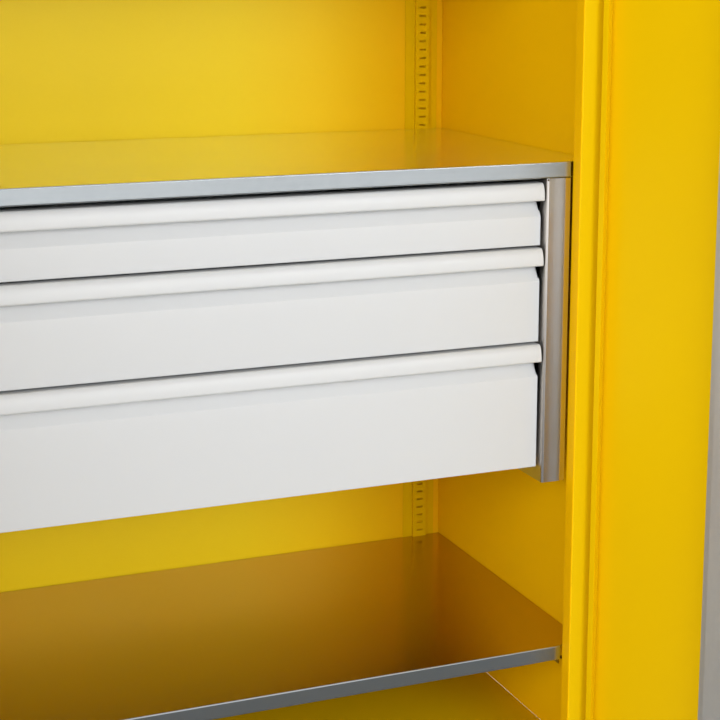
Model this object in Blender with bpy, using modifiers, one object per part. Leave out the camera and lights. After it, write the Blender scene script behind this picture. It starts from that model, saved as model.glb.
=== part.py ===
"""Heavy-duty wing-door cupboard with three shelves and a block of three full-width drawers.

Metres, +X right, +Y rear, +Z up; the origin is on the floor under the middle of the carcass.
Both doors stand open and all drawers are shut.
"""

import math

import bpy
import bmesh
from mathutils import Matrix, Vector

# Carcass
WIDTH = 1.196
DEPTH = 0.5925
HEIGHT = 1.950
PLINTH_HEIGHT = 0.100
PLINTH_SETBACK = 0.012
CAP_HEIGHT = 0.030
CAP_LIP = 0.040
WALL_SHEET = 0.0015
WALL_BEND = 0.0025
PLINTH_SHEET = 0.002
PLINTH_LIP = 0.030
BRACE_WIDTH = 0.080
POST_FACE = 0.044
POST_RETURN = 0.025
POST_LIP = 0.012
REAR_FLANGE = 0.025
FIT_GAP = 0.0003
OVERRUN = 0.010
MERGE_DISTANCE = 0.00005

# Slotted rails
RAIL_SHEET = 0.0012
RAIL_OFFSET = 0.0125
RAIL_FOOT = 0.018
RAIL_WEB = 0.0265
RAIL_PROUD = 0.0085
RAIL_END_GAP = 0.020
SLOT_LENGTH = 0.012
SLOT_HEIGHT = 0.0035
SLOT_PITCH = 0.0151
SLOT_ABOVE_SHELF = 0.0067

# Shelves and bearers
SHELF_SHEET = 0.0012
SHELF_BEND = 0.002
SHELF_SIDE_GAP = 0.0015
SHELF_LIP = 0.0245
SHELF_HEM = 0.012
SHELF_SETBACK = 0.0238
LIP_CLEARANCE = 0.0035
LOWER_SHELF = 0.329
MIDDLE_SHELF = 1.105
UPPER_SHELF = 1.500
BEARER_SHEET = 0.0015
BEARER_HEIGHT = 0.035
BEARER_FLANGE = 0.022
BEARER_STEP = 0.0005

# Drawer block
BLOCK_SHEET = 0.0015
BLOCK_DROP = 0.5013
BLOCK_FLANGE = 0.040
BLOCK_HEM = 0.008
BLOCK_BEND = 0.0035
BLOCK_REAR_FLANGE = 0.050
RELIEF_RADIUS = 0.0014
RELIEF_INSET = 0.0024
FIRST_FRONT_DROP = 0.0316
FRONT_GAP = 0.0034
FRONT_HEIGHTS = (0.0966, 0.1466, 0.1966)
FRONT_SIDE_GAP = 0.0037

# Drawer front profile, sizes back from the plane of the shelf lip and down from the front's top
FRONT_SHEET = 0.001
GRIP_HEIGHT = 0.027
GRIP_SETBACK = 0.0085
GRIP_CURL = 0.003
RECESS_DEPTH = 0.0254
RECESS_FLAT = 0.002
RECESS_HEIGHT = 0.025
FACE_SETBACK = 0.0124
GRIP_STEPS = 6
CURL_STEPS = 3

# Drawer trays and their telescopic runners
TRAY_SHEET = 0.001
TRAY_LENGTH = 0.480
TRAY_FLOOR_LIFT = 0.008
TRAY_TOP_DROP = 0.012
TRAY_BEND = 0.002
RUNNER_ROOM = 0.0157
RUNNER_SHEET = 0.0012
RUNNER_LENGTH = 0.470
RUNNER_HEIGHT = 0.044
RUNNER_SETBACK = 0.003
RUNNER_LIFT = 0.034
RUNNER_FLANGE = 0.009
RUNNER_PLAY = 0.0005

# Doors
LEAF_THICKNESS = 0.022
LEAF_SHEET = 0.0012
LEAF_LIP = 0.015
LEAF_BEND = 0.002
DOOR_GAP = 0.003
MEETING_GAP = 0.003
PIVOT_INSET = 0.007
PIVOT_BACK = 0.011
OPEN_ANGLE = math.radians(113.5)
PIN_RADIUS = 0.004
PIN_COLLAR = 0.006
PIN_REACH = 0.010
STIFFENER_WIDTH = 0.205
STIFFENER_FOOT = 0.0175
STIFFENER_PROUD = 0.016
STIFFENER_END_GAP = 0.020
STRIP_WIDTH = 0.030
STRIP_SHEET = 0.0015
STRIP_END_GAP = 0.030

# Lock and bolts
LOCK_INSET = 0.045
LOCK_HEIGHT = 1.020
CASE_WIDTH = 0.050
CASE_HEIGHT = 0.150
CASE_DEPTH = 0.0165
CASE_BEVEL = 0.001
ROD_RADIUS = 0.004
ROD_ENGAGED = 0.028
ROD_TIP_INSET = 0.0005
GUIDE_WIDTH = 0.020
GUIDE_HEIGHT = 0.012
GUIDE_FROM_END = 0.150
PLATE_WIDTH = 0.036
PLATE_HEIGHT = 0.160
PLATE_THICKNESS = 0.004
SPINDLE_RADIUS = 0.005
BOSS_RADIUS = 0.012
BOSS_LENGTH = 0.016
LEVER_LENGTH = 0.110
LEVER_WIDTH = 0.018
LEVER_THICKNESS = 0.009
LEVER_BEVEL = 0.003
KEY_DROP = 0.034
KEY_RADIUS = 0.008
KEY_PROUD = 0.0015
KEY_SLOT_WIDTH = 0.0015
KEY_SLOT_LENGTH = 0.009
KEY_SLOT_DEPTH = 0.002
BOLT_LENGTH = 0.190
KNOB_RADIUS = 0.005
KNOB_LENGTH = 0.016
KNOB_FROM_END = 0.110
ROUND_SEGMENTS = 24

# Planes worked out from the sizes above
FRONT = -DEPTH / 2
REAR = DEPTH / 2
WALL_INNER = WIDTH / 2 - WALL_SHEET
WALL_LOW = PLINTH_HEIGHT + CAP_HEIGHT + FIT_GAP
WALL_TOP = HEIGHT - CAP_HEIGHT - FIT_GAP
PANEL_FACE = REAR - 2 * WALL_SHEET - FIT_GAP
RAIL_OUTER = WALL_INNER - RAIL_OFFSET
WEB_OUTER = RAIL_OUTER - RAIL_FOOT
WEB_INNER = WEB_OUTER - RAIL_WEB
WEB_FACE = PANEL_FACE - RAIL_PROUD
FOOT_FACE = PANEL_FACE - FIT_GAP - RAIL_SHEET
LIP_PLANE = FRONT + SHELF_SETBACK
SHELF_REAR = FOOT_FACE - FIT_GAP
SHELF_SIDE = WALL_INNER - SHELF_SIDE_GAP
POST_INNER = WIDTH / 2 - POST_FACE
LIP_END = POST_INNER - LIP_CLEARANCE
BLOCK_FACE = LIP_END - BLOCK_FLANGE
FRONT_END = BLOCK_FACE - FRONT_SIDE_GAP
TRAY_SIDE = BLOCK_FACE - RUNNER_ROOM
TRAY_FRONT = LIP_PLANE + RECESS_DEPTH + FRONT_SHEET + FIT_GAP
LEAF_INNER = FRONT - DOOR_GAP
LEAF_OUTER = LEAF_INNER - LEAF_THICKNESS
LEAF_HINGE_EDGE = WIDTH / 2
LEAF_FREE_EDGE = MEETING_GAP / 2
LEAF_LOW = PLINTH_HEIGHT + CAP_HEIGHT + DOOR_GAP
LEAF_TOP = HEIGHT - CAP_HEIGHT - DOOR_GAP
CAP_FRONT = LEAF_OUTER - DOOR_GAP
PIVOT_X = LEAF_HINGE_EDGE - PIVOT_INSET
PIVOT_Y = LEAF_INNER - PIVOT_BACK

AXES = {"X": Vector((1, 0, 0)), "Y": Vector((0, 1, 0)), "Z": Vector((0, 0, 1))}
HANDS = {"left": -1, "right": 1}

# Finishes: colour, roughness, metallic
YELLOW_PAINT = ((0.80, 0.49, 0.004), 0.38, 0.0)
GREY_PAINT = ((0.66, 0.65, 0.63), 0.42, 0.0)
GALVANISED = ((0.62, 0.64, 0.65), 0.26, 1.0)
BRIGHT_ZINC = ((0.66, 0.67, 0.68), 0.30, 1.0)
DARK_PAINT = ((0.06, 0.06, 0.065), 0.45, 0.0)
BLACK_PLASTIC = ((0.02, 0.02, 0.022), 0.40, 0.0)
CHROME = ((0.80, 0.80, 0.80), 0.12, 1.0)


def start_scene():
    """Empty the scene and make the collections for the parts and for the cutters."""
    for item in list(bpy.data.objects):
        bpy.data.objects.remove(item, do_unlink=True)
    parts = bpy.data.collections.new("drawer_cabinet")
    cutters = bpy.data.collections.new("cutters")
    cutters.hide_render = True
    for collection in (parts, cutters):
        bpy.context.scene.collection.children.link(collection)
    return parts, cutters


PARTS, CUTTERS = start_scene()


def finish_material(name, finish):
    colour, roughness, metallic = finish
    material = bpy.data.materials.new(name + "_finish")
    material.use_nodes = True
    shader = material.node_tree.nodes["Principled BSDF"]
    shader.inputs["Base Color"].default_value = (*colour, 1.0)
    shader.inputs["Roughness"].default_value = roughness
    shader.inputs["Metallic"].default_value = metallic
    return material


def object_from(name, shape, finish, collection=None):
    """Turn a bmesh into an object, with its own material."""
    mesh = bpy.data.meshes.new(name)
    shape.to_mesh(mesh)
    shape.free()
    piece = bpy.data.objects.new(name, mesh)
    (collection or PARTS).objects.link(piece)
    if finish:
        mesh.materials.append(finish_material(name, finish))
    return piece


def as_cutter(cutter, carrier=None):
    cutter.hide_render = True
    cutter.display_type = "WIRE"
    if carrier:
        seat(cutter, carrier)
    return cutter


def seat(piece, carrier, origin=None):
    """Hang a piece that is drawn with its door shut on the empty of that door."""
    if carrier is None:
        return piece
    start = Vector(origin or carrier.location)
    piece.data.transform(Matrix.Translation(-start))
    piece.location = start - carrier.location
    piece.parent = carrier
    return piece


def boolean(piece, cutter, operation="DIFFERENCE"):
    cut = piece.modifiers.new(operation.lower(), "BOOLEAN")
    cut.object = cutter
    cut.operation = operation
    return piece


def placed(point, axis, along):
    """A profile point (a, b) in the plane square to the axis, at a place along it."""
    a, b = point
    return {"X": (along, a, b), "Y": (a, along, b), "Z": (a, b, along)}[axis]


def rounded(points, radius, steps=3):
    """Replace each inner corner of an outline with an arc."""
    points = [Vector(point) for point in points]
    result = [points[0]]
    for before, corner, after in zip(points, points[1:], points[2:]):
        back = (before - corner).normalized()
        ahead = (after - corner).normalized()
        half = back.angle(ahead) / 2
        centre = corner + (back + ahead).normalized() * radius / math.sin(half)
        first = corner + back * radius / math.tan(half) - centre
        last = corner + ahead * radius / math.tan(half) - centre
        turn = math.pi - 2 * half
        for step in range(steps + 1):
            share = step / steps
            reach = math.sin((1 - share) * turn) * first + math.sin(share * turn) * last
            result.append(centre + reach / math.sin(turn))
    result.append(points[-1])
    return result


def folded_sheet(name, profile, axis, span, sheet, side, finish):
    """Run a folded sheet along an axis. Its outer face is on the side told by the sign of side."""
    shape = bmesh.new()
    run = AXES[axis]
    verts = [shape.verts.new(placed(point, axis, span[0])) for point in profile]
    edges = [shape.edges.new(pair) for pair in zip(verts, verts[1:])]
    outward = (verts[1].co - verts[0].co).cross(run) * side
    swept = bmesh.ops.extrude_edge_only(shape, edges=edges)["geom"]
    moved = [item for item in swept if isinstance(item, bmesh.types.BMVert)]
    bmesh.ops.translate(shape, verts=moved, vec=run * (span[1] - span[0]))
    bmesh.ops.recalc_face_normals(shape, faces=shape.faces)
    shape.normal_update()
    if edges[0].link_faces[0].normal.dot(outward) < 0:
        bmesh.ops.reverse_faces(shape, faces=shape.faces)
    piece = object_from(name, shape, finish)
    thicken(piece, sheet)
    return piece


def thicken(piece, sheet):
    wall = piece.modifiers.new("sheet", "SOLIDIFY")
    wall.thickness = sheet
    wall.offset = -1
    wall.use_even_offset = True


def cube_shape(low, high):
    shape = bmesh.new()
    low, high = Vector(low), Vector(high)
    size = high - low
    bmesh.ops.create_cube(shape, size=1)
    bmesh.ops.scale(shape, vec=size, verts=shape.verts)
    bmesh.ops.translate(shape, vec=(low + high) / 2, verts=shape.verts)
    return shape


def folded_tray(name, low, high, open_sides, lip, sheet, bend, finish):
    """A shallow tray folded from sheet, open on some sides, with a lip round each opening."""
    shape = cube_shape(low, high)
    for side in open_sides:
        shape.normal_update()
        face = max(shape.faces, key=lambda item: item.normal.dot(side) * item.calc_area())
        if lip:
            bmesh.ops.inset_region(shape, faces=[face], thickness=lip)
        bmesh.ops.delete(shape, geom=[face], context="FACES_ONLY")
    folds = [edge for edge in shape.edges if len(edge.link_faces) == 2
             and edge.calc_face_angle() > math.radians(45)]
    bmesh.ops.bevel(shape, geom=folds, offset=bend, segments=2, profile=0.5, affect="EDGES")
    piece = object_from(name, shape, finish)
    thicken(piece, sheet)
    return piece


def block(name, low, high, finish, bevel=0, collection=None):
    shape = cube_shape(low, high)
    if bevel:
        bmesh.ops.bevel(shape, geom=shape.edges, offset=bevel, segments=2, profile=0.5,
                        affect="EDGES")
    return object_from(name, shape, finish, collection)


def box_cutter(name, low, high, carrier=None):
    return as_cutter(block(name, low, high, None, collection=CUTTERS), carrier)


def cylinder_shape(centre, axis, radius, length):
    shape = bmesh.new()
    turn = AXES["Z"].rotation_difference(AXES[axis]).to_matrix().to_4x4()
    bmesh.ops.create_cone(shape, cap_ends=True, segments=ROUND_SEGMENTS, radius1=radius,
                          radius2=radius, depth=length,
                          matrix=Matrix.Translation(centre) @ turn)
    return shape


def hole_cutter(name, centre, axis, radius, length, carrier=None):
    cutter = object_from(name, cylinder_shape(centre, axis, radius, length), None, CUTTERS)
    return as_cutter(cutter, carrier)


def rod(name, centre, axis, radius, length, finish, collection=None):
    return object_from(name, cylinder_shape(centre, axis, radius, length), finish, collection)


def turned(name, profile, finish):
    """Turn a profile of (radius, height), drawn from the top down, about the object's own Z axis."""
    shape = bmesh.new()
    verts = [shape.verts.new((radius, 0, height)) for radius, height in profile]
    for pair in zip(verts, verts[1:]):
        shape.edges.new(pair)
    piece = object_from(name, shape, finish)
    screw = piece.modifiers.new("turn", "SCREW")
    screw.steps = screw.render_steps = ROUND_SEGMENTS
    screw.use_merge_vertices = True
    screw.merge_threshold = MERGE_DISTANCE
    return piece


def mirrored(points, hand):
    return [(x * hand, y) for x, y in points]


def make_side_wall(side, hand):
    """Wall, front post and rear flange are one folded sheet; the post is the box fold in front."""
    outline = [
        (WIDTH / 2 - REAR_FLANGE, REAR),
        (WIDTH / 2, REAR),
        (WIDTH / 2, FRONT),
        (POST_INNER, FRONT),
        (POST_INNER, FRONT + POST_RETURN),
        (POST_INNER + POST_LIP, FRONT + POST_RETURN),
    ]
    folded_sheet("side_wall_" + side, mirrored(rounded(outline, WALL_BEND), hand), "Z",
                 (WALL_LOW, WALL_TOP), WALL_SHEET, -hand, YELLOW_PAINT)


def make_rear_panel():
    side = WIDTH / 2 - WALL_BEND - FIT_GAP
    block("rear_panel", (-side, PANEL_FACE, WALL_LOW), (side, PANEL_FACE + WALL_SHEET, WALL_TOP),
          YELLOW_PAINT)


def make_caps():
    """Roof and base are trays that reach over the doors and carry the hinge pins."""
    down = Vector((0, 0, -1))
    roof = folded_tray("roof_panel", (-WIDTH / 2, CAP_FRONT, HEIGHT - CAP_HEIGHT),
                       (WIDTH / 2, REAR, HEIGHT), [down], CAP_LIP, WALL_SHEET, WALL_BEND,
                       YELLOW_PAINT)
    base = folded_tray("base_panel", (-WIDTH / 2, CAP_FRONT, PLINTH_HEIGHT),
                       (WIDTH / 2, REAR, PLINTH_HEIGHT + CAP_HEIGHT), [down], CAP_LIP,
                       WALL_SHEET, WALL_BEND, YELLOW_PAINT)
    edges = {"roof": (roof, HEIGHT - CAP_HEIGHT + WALL_SHEET / 2),
             "base": (base, PLINTH_HEIGHT + CAP_HEIGHT - WALL_SHEET / 2)}
    for part, (cap, height) in edges.items():
        for side, hand in HANDS.items():
            pin_hole = (hand * PIVOT_X, PIVOT_Y, height)
            rod_hole = (hand * LOCK_INSET, PIVOT_Y, height)
            for kind, centre in (("pin", pin_hole), ("rod", rod_hole)):
                cutter = hole_cutter(f"cut_{part}_{kind}_{side}", centre, "Z",
                                     PIN_RADIUS + FIT_GAP, 2 * WALL_SHEET)
                boolean(cap, cutter)


def make_plinth():
    """A folded ring with lips above and below, and a flat brace across its middle at the floor."""
    side = WIDTH / 2 - PLINTH_SETBACK
    front = FRONT + PLINTH_SETBACK
    rear = REAR - PLINTH_SETBACK
    up, down = Vector((0, 0, 1)), Vector((0, 0, -1))
    plinth = folded_tray("plinth_frame", (-side, front, 0),
                         (side, rear, PLINTH_HEIGHT - FIT_GAP), [up, down], PLINTH_LIP,
                         PLINTH_SHEET, WALL_BEND, DARK_PAINT)
    lap = PLINTH_LIP / 2
    brace = block("plinth_brace", (-BRACE_WIDTH / 2, front + lap, 0),
                  (BRACE_WIDTH / 2, rear - lap, PLINTH_SHEET), None, collection=CUTTERS)
    boolean(plinth, as_cutter(brace), "UNION")


def make_slotted_rail(side, hand, slot_cutter):
    outline = [
        (WEB_INNER - RAIL_FOOT, FOOT_FACE),
        (WEB_INNER, FOOT_FACE),
        (WEB_INNER, WEB_FACE),
        (WEB_OUTER, WEB_FACE),
        (WEB_OUTER, FOOT_FACE),
        (RAIL_OUTER, FOOT_FACE),
    ]
    rail = folded_sheet("slotted_rail_" + side, mirrored(outline, hand), "Z",
                        (WALL_LOW + RAIL_END_GAP, WALL_TOP - RAIL_END_GAP), RAIL_SHEET, hand,
                        YELLOW_PAINT)
    boolean(rail, slot_cutter)


def make_slot_cutter(side, hand):
    """One row of slots, in step with the slot just above the middle shelf."""
    first = MIDDLE_SHELF + SLOT_ABOVE_SHELF
    low = WALL_LOW + 2 * RAIL_END_GAP
    high = WALL_TOP - 2 * RAIL_END_GAP
    centre = hand * (WEB_INNER + WEB_OUTER) / 2
    steps = range(math.ceil((low - first) / SLOT_PITCH), math.floor((high - first) / SLOT_PITCH) + 1)
    shape = bmesh.new()
    for step in steps:
        place = Vector((centre, WEB_FACE + RAIL_SHEET / 2, first + step * SLOT_PITCH))
        size = Vector((SLOT_LENGTH, 3 * RAIL_SHEET, SLOT_HEIGHT))
        bmesh.ops.create_cube(shape, size=1,
                              matrix=Matrix.Translation(place) @ Matrix.Diagonal((*size, 1)))
    return as_cutter(object_from("cut_slots_" + side, shape, None, CUTTERS))


def make_shelf(name, top):
    """A tray shelf: fold at the rear, lip with a hem in front, notched round posts and rails."""
    outline = [
        (SHELF_REAR, top - SHELF_LIP),
        (SHELF_REAR, top),
        (LIP_PLANE, top),
        (LIP_PLANE, top - SHELF_LIP),
        (LIP_PLANE + SHELF_HEM, top - SHELF_LIP),
    ]
    shelf = folded_sheet(name, rounded(outline, SHELF_BEND), "X", (-SHELF_SIDE, SHELF_SIDE),
                         SHELF_SHEET, 1, GALVANISED)
    for side, hand in HANDS.items():
        notches = {"post": (LIP_END, WIDTH / 2, FRONT - OVERRUN, FRONT + POST_RETURN + FIT_GAP),
                   "rail": (WEB_INNER - FIT_GAP, WEB_OUTER + FIT_GAP, WEB_FACE - FIT_GAP, REAR)}
        for kind, (inner, outer, front, rear) in notches.items():
            near, far = sorted((hand * inner, hand * outer))
            notch = box_cutter(f"cut_{name}_{kind}_{side}", (near, front, top - 2 * SHELF_LIP),
                               (far, rear, top + OVERRUN))
            boolean(shelf, notch)


def make_bearer(name, top, hand):
    """An angle that runs back from behind the post to the rail's web, on which a shelf lies."""
    inner = POST_INNER + BEARER_STEP
    underside = top - SHELF_SHEET - FIT_GAP
    outline = [
        (inner, underside - BEARER_HEIGHT),
        (inner, underside),
        (inner + BEARER_FLANGE, underside),
    ]
    front = max(FRONT + POST_RETURN, LIP_PLANE + SHELF_HEM) + FIT_GAP
    rear = WEB_FACE - FIT_GAP
    folded_sheet(name, mirrored(rounded(outline, WALL_BEND), hand), "Y", (front, rear),
                 BEARER_SHEET, hand, GALVANISED)


def make_block_side(side, hand):
    """Side panel of the drawer block: flange flush with the shelf lip, flange on the rail.

    The hem at the flange's outer edge has a sharp fold, and the front fold has a relief hole.
    """
    rear = WEB_FACE - FIT_GAP
    top = MIDDLE_SHELF - SHELF_LIP - FIT_GAP
    folds = rounded([
        (BLOCK_FACE + BLOCK_REAR_FLANGE, rear),
        (BLOCK_FACE, rear),
        (BLOCK_FACE, LIP_PLANE),
        (LIP_END, LIP_PLANE),
    ], BLOCK_BEND)
    outline = [*folds, (LIP_END, LIP_PLANE + BLOCK_HEM)]
    panel = folded_sheet("block_side_panel_" + side, mirrored(outline, hand), "Z",
                         (MIDDLE_SHELF - BLOCK_DROP, top), BLOCK_SHEET, hand, GALVANISED)
    relief = hole_cutter("cut_relief_" + side,
                         (hand * (BLOCK_FACE + RELIEF_INSET), LIP_PLANE, top - RELIEF_INSET),
                         "Y", RELIEF_RADIUS, 2 * BLOCK_HEM)
    boolean(panel, relief)


def front_profile(top, height):
    """Rolled grip, recess under it, slope out to the flat face, and a hem at top and bottom."""
    back = TRAY_FRONT - FIT_GAP
    crown = GRIP_HEIGHT - GRIP_CURL
    points = [(back, top)]
    for step in range(GRIP_STEPS + 1):
        angle = math.pi / 2 * step / GRIP_STEPS
        points.append((LIP_PLANE + GRIP_SETBACK * (1 - math.sin(angle)),
                       top - crown * (1 - math.cos(angle))))
    for step in range(1, CURL_STEPS + 1):
        angle = math.pi / 2 * step / CURL_STEPS
        points.append((LIP_PLANE + GRIP_CURL * (1 - math.cos(angle)),
                       top - crown - GRIP_CURL * math.sin(angle)))
    points.append((LIP_PLANE + RECESS_DEPTH, top - GRIP_HEIGHT))
    points.append((LIP_PLANE + RECESS_DEPTH, top - GRIP_HEIGHT - RECESS_FLAT))
    points.append((LIP_PLANE + FACE_SETBACK, top - GRIP_HEIGHT - RECESS_HEIGHT))
    points.append((LIP_PLANE + FACE_SETBACK, top - height))
    points.append((back, top - height))
    return points


def c_profile(web, flange_end, centre, half):
    return [(flange_end, centre + half), (web, centre + half), (web, centre - half),
            (flange_end, centre - half)]


def make_runner(number, side, hand, bottom):
    """Three channels that run inside each other: on the panel, between, and on the tray."""
    centre = bottom + RUNNER_LIFT
    start = TRAY_FRONT + RUNNER_SETBACK
    span = (start, start + RUNNER_LENGTH)
    name = f"{number}_{side}"
    outer_web = BLOCK_FACE - FIT_GAP
    outer_half = RUNNER_HEIGHT / 2
    step = RUNNER_SHEET + RUNNER_PLAY
    middle_web = outer_web - step
    inner_web = TRAY_SIDE + FIT_GAP
    outer = c_profile(outer_web, outer_web - RUNNER_FLANGE, centre, outer_half)
    middle = c_profile(middle_web, middle_web - RUNNER_FLANGE, centre, outer_half - step)
    inner = c_profile(inner_web, inner_web + RUNNER_FLANGE, centre, outer_half - 2 * step)
    folded_sheet("runner_outer_" + name, mirrored(outer, hand), "Y", span, RUNNER_SHEET, hand,
                 BRIGHT_ZINC)
    folded_sheet("runner_middle_" + name, mirrored(middle, hand), "Y", span, RUNNER_SHEET, hand,
                 BRIGHT_ZINC)
    folded_sheet("runner_inner_" + name, mirrored(inner, hand), "Y", span, RUNNER_SHEET, -hand,
                 BRIGHT_ZINC)


def make_drawer(number, top, height):
    bottom = top - height
    folded_sheet(f"drawer_front_{number}", front_profile(top, height), "X",
                 (-FRONT_END, FRONT_END), FRONT_SHEET, 1, GREY_PAINT)
    folded_tray(f"drawer_tray_{number}", (-TRAY_SIDE, TRAY_FRONT, bottom + TRAY_FLOOR_LIFT),
                (TRAY_SIDE, TRAY_FRONT + TRAY_LENGTH, top - TRAY_TOP_DROP),
                [Vector((0, 0, 1))], 0, TRAY_SHEET, TRAY_BEND, GALVANISED)
    for side, hand in HANDS.items():
        make_runner(number, side, hand, bottom)


def make_drawers():
    top = MIDDLE_SHELF - FIRST_FRONT_DROP
    for number, height in enumerate(FRONT_HEIGHTS, 1):
        make_drawer(number, top, height)
        top -= height + FRONT_GAP


def make_hinge_pins():
    """Pins through the roof's and the base's edge into the leaf, with a collar in the door gap."""
    gaps = {"top": (LEAF_TOP, 1), "bottom": (LEAF_LOW, -1)}
    shank = PIN_REACH + DOOR_GAP / 2
    collar = DOOR_GAP / 2 - FIT_GAP
    profile = [(0, shank), (PIN_RADIUS, shank), (PIN_RADIUS, collar), (PIN_COLLAR, collar),
               (PIN_COLLAR, -collar), (PIN_RADIUS, -collar), (PIN_RADIUS, -shank), (0, -shank)]
    for side, hand in HANDS.items():
        for end, (edge, way) in gaps.items():
            pin = turned(f"hinge_pin_{end}_{side}", profile, BRIGHT_ZINC)
            pin.location = (hand * PIVOT_X, PIVOT_Y, edge + way * DOOR_GAP / 2)


def door_empty(side, hand):
    pivot = bpy.data.objects.new(f"door_pivot_{side}", None)
    PARTS.objects.link(pivot)
    pivot.location = (hand * PIVOT_X, PIVOT_Y, 0)
    pivot.rotation_euler = (0, 0, hand * OPEN_ANGLE)
    return pivot


def make_leaf(side, hand, pivot):
    """Leaf with lips round its open back, bored for the pins and rods, with a guide for each rod."""
    near, far = sorted((hand * LEAF_FREE_EDGE, hand * LEAF_HINGE_EDGE))
    leaf = folded_tray("door_leaf_" + side, (near, LEAF_OUTER, LEAF_LOW),
                       (far, LEAF_INNER, LEAF_TOP), [Vector((0, 1, 0))], LEAF_LIP, LEAF_SHEET,
                       LEAF_BEND, YELLOW_PAINT)
    seat(leaf, pivot)
    guide_back = PIVOT_Y + ROD_RADIUS + 2 * LEAF_SHEET
    for end, edge, way in (("top", LEAF_TOP, -1), ("bottom", LEAF_LOW, 1)):
        height = edge + way * GUIDE_FROM_END
        guide = block(f"guide_{end}_{side}",
                      (hand * LOCK_INSET - GUIDE_WIDTH / 2, LEAF_OUTER + LEAF_SHEET / 2,
                       height - GUIDE_HEIGHT / 2),
                      (hand * LOCK_INSET + GUIDE_WIDTH / 2, guide_back, height + GUIDE_HEIGHT / 2),
                      None, collection=CUTTERS)
        boolean(leaf, as_cutter(guide, pivot), "UNION")
        bore_start, bore_end = edge - way * OVERRUN, height + way * GUIDE_HEIGHT
        rod_bore = hole_cutter(f"cut_rod_{end}_{side}",
                               (hand * LOCK_INSET, PIVOT_Y, (bore_start + bore_end) / 2), "Z",
                               ROD_RADIUS + FIT_GAP, abs(bore_end - bore_start), pivot)
        pin_bore = hole_cutter(f"cut_pin_{end}_{side}", (hand * PIVOT_X, PIVOT_Y, edge), "Z",
                               PIN_RADIUS + FIT_GAP, OVERRUN, pivot)
        boolean(boolean(leaf, rod_bore), pin_bore)
    return leaf


def make_stiffener(side, hand, pivot):
    """Hat section up the middle of the leaf, standing on the back of its outer skin."""
    face = LEAF_OUTER + LEAF_SHEET + FIT_GAP + LEAF_SHEET
    middle = (LEAF_FREE_EDGE + LEAF_HINGE_EDGE) / 2
    low, high = middle - STIFFENER_WIDTH / 2, middle + STIFFENER_WIDTH / 2
    outline = [
        (low, face),
        (low + STIFFENER_FOOT, face),
        (low + STIFFENER_FOOT, face + STIFFENER_PROUD),
        (high - STIFFENER_FOOT, face + STIFFENER_PROUD),
        (high - STIFFENER_FOOT, face),
        (high, face),
    ]
    hat = folded_sheet("door_stiffener_" + side, mirrored(outline, hand), "Z",
                       (LEAF_LOW + STIFFENER_END_GAP, LEAF_TOP - STIFFENER_END_GAP), LEAF_SHEET,
                       -hand, GALVANISED)
    seat(hat, pivot)


def make_meeting_strip(pivot):
    """Strip on the back of the left leaf's free edge, which the right leaf shuts against."""
    strip = block("meeting_strip",
                  (-STRIP_WIDTH / 2, LEAF_INNER + FIT_GAP, LEAF_LOW + STRIP_END_GAP),
                  (STRIP_WIDTH / 2, LEAF_INNER + FIT_GAP + STRIP_SHEET, LEAF_TOP - STRIP_END_GAP),
                  YELLOW_PAINT)
    seat(strip, pivot)


def make_lock_case(pivot):
    front = LEAF_OUTER + LEAF_SHEET + FIT_GAP
    case = block("lock_case", (LOCK_INSET - CASE_WIDTH / 2, front, LOCK_HEIGHT - CASE_HEIGHT / 2),
                 (LOCK_INSET + CASE_WIDTH / 2, front + CASE_DEPTH, LOCK_HEIGHT + CASE_HEIGHT / 2),
                 BRIGHT_ZINC, bevel=CASE_BEVEL)
    seat(case, pivot)
    for end, way in (("top", 1), ("bottom", -1)):
        mouth = LOCK_HEIGHT + way * CASE_HEIGHT / 2
        bore = hole_cutter("cut_case_" + end, (LOCK_INSET, PIVOT_Y, mouth), "Z",
                           ROD_RADIUS + FIT_GAP, 2 * (ROD_ENGAGED + FIT_GAP), pivot)
        boolean(case, bore)
    return case


def make_handle_plate(pivot):
    """Plate with round ends on the outer face, under the handle and the key cylinder."""
    outline = bmesh.new()
    back = LEAF_OUTER - FIT_GAP
    centre = Vector((LOCK_INSET, back - PLATE_THICKNESS / 2, LOCK_HEIGHT - KEY_DROP / 2))
    half = Vector((PLATE_WIDTH, PLATE_THICKNESS, PLATE_HEIGHT)) / 2
    bmesh.ops.create_cube(outline, size=2,
                          matrix=Matrix.Translation(centre) @ Matrix.Diagonal((*half, 1)))
    ends = [edge for edge in outline.edges
            if abs((edge.verts[0].co - edge.verts[1].co).normalized().y) > 0.5]
    bmesh.ops.bevel(outline, geom=ends, offset=PLATE_WIDTH / 3, segments=5, profile=0.5,
                    affect="EDGES")
    plate = object_from("handle_plate", outline, BLACK_PLASTIC)
    return seat(plate, pivot)


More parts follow.
